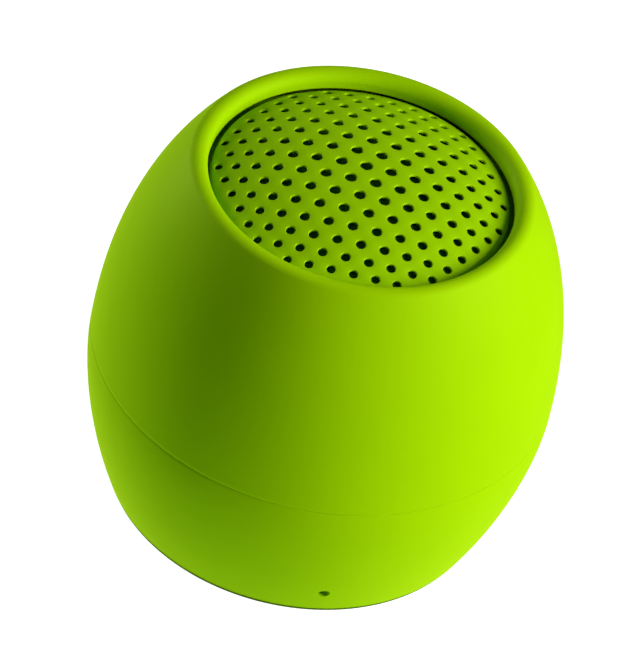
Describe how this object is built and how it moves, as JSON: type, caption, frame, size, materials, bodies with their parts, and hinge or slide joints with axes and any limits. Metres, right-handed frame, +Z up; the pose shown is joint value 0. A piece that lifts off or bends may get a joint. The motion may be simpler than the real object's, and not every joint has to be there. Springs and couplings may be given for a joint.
{
  "type": "wireless speaker",
  "caption": "Palm-size egg-shaped splash-proof wireless speaker with a rolled rim round a domed perforated grille, standing on a flat foot.",
  "frame": {"origin": "centre of the foot, on the plane that the speaker stands on", "axes": "+Z up through the middle of the grille, -Y the front with the microphone hole, +Y the back with the charging port, +X to the right seen from the front"},
  "size_m": [0.046, 0.046, 0.0411],
  "materials": {
    "shell": "soft-touch",
    "grille": "satin",
    "port_cover": "matte",
    "base": "matte",
    "button": "matte",
    "foot": "matte",
    "seal": "matte",
    "membrane": "matte",
    "dark_plastic": "matte",
    "steel": "brushed",
    "cone": "matte",
    "copper": "satin",
    "board": "satin",
    "foil": "satin",
    "clear": "gloss",
    "wire_red": "satin",
    "wire_black": "satin"
  },
  "bodies": {
    "body": {"upper_shell": "shell", "lower_shell": "shell", "grille": "grille", "base_plate": "base", "foot_ring": "foot", "seam_seal": "seal", "driver_gasket": "seal", "mic_boot": "seal", "surround": "seal", "foam_pad_lower": "seal", "foam_pad_upper": "seal", "membrane": "membrane", "grille_ring": "dark_plastic", "driver_frame": "dark_plastic", "clamp_ring": "dark_plastic", "battery_tray": "dark_plastic", "amplifier_chip": "dark_plastic", "power_inductor": "dark_plastic", "switch_body": "dark_plastic", "magnet_pot": "steel", "magnet": "steel", "pole_plate": "steel", "usb_socket": "steel", "radio_module": "steel", "microphone": "steel", "driver_screw_1": "steel", "driver_screw_2": "steel", "driver_screw_3": "steel", "driver_screw_4": "steel", "tray_screw_1": "steel", "tray_screw_2": "steel", "tray_screw_3": "steel", "board_screw_1": "steel", "board_screw_2": "steel", "board_screw_3": "steel", "base_screw_1": "steel", "base_screw_2": "steel", "base_screw_3": "steel", "spider": "cone", "circuit_board": "board", "terminal_board": "board", "battery": "foil", "capacitor": "foil", "battery_socket": "clear", "status_led": "clear", "light_pipe": "clear", "driver_wire_plus": "wire_red", "battery_wire_plus": "wire_red", "driver_wire_minus": "wire_black", "battery_wire_minus": "wire_black"},
    "diaphragm": {"cone": "cone", "dust_cap": "cone", "voice_coil": "copper"},
    "button": {"power_button": "button"},
    "plunger": {"switch_plunger": "steel"},
    "flap": {"port_flap": "port_cover"}
  },
  "joints": [
    {"name": "cone_travel", "type": "slide", "parent": "body", "child": "diaphragm", "axis": [0, 0, 1], "range_m": [-0.0005, 0.0005], "stiffness_N_per_m": 600, "deforming": ["surround", "spider"]},
    {"name": "button_travel", "type": "slide", "parent": "body", "child": "button", "axis": [0, 0, 1], "range_m": [0, 0.0004], "stiffness_N_per_m": 1500, "springref_m": -0.0002},
    {"name": "plunger_travel", "type": "slide", "parent": "body", "child": "plunger", "axis": [0, 0, 1], "range_m": [0, 0.0004], "stiffness_N_per_m": 10, "springref_m": -0.0001},
    {"name": "port_flap_hinge", "type": "hinge", "parent": "body", "child": "flap", "pos_m": [-0.0052, 0.02142, 0.0091], "axis": [0, 0, 1], "range_deg": [0, 100]}
  ],
  "couplings": [
    {"joint": "plunger_travel", "follows": "button_travel", "ratio": 1}
  ]
}
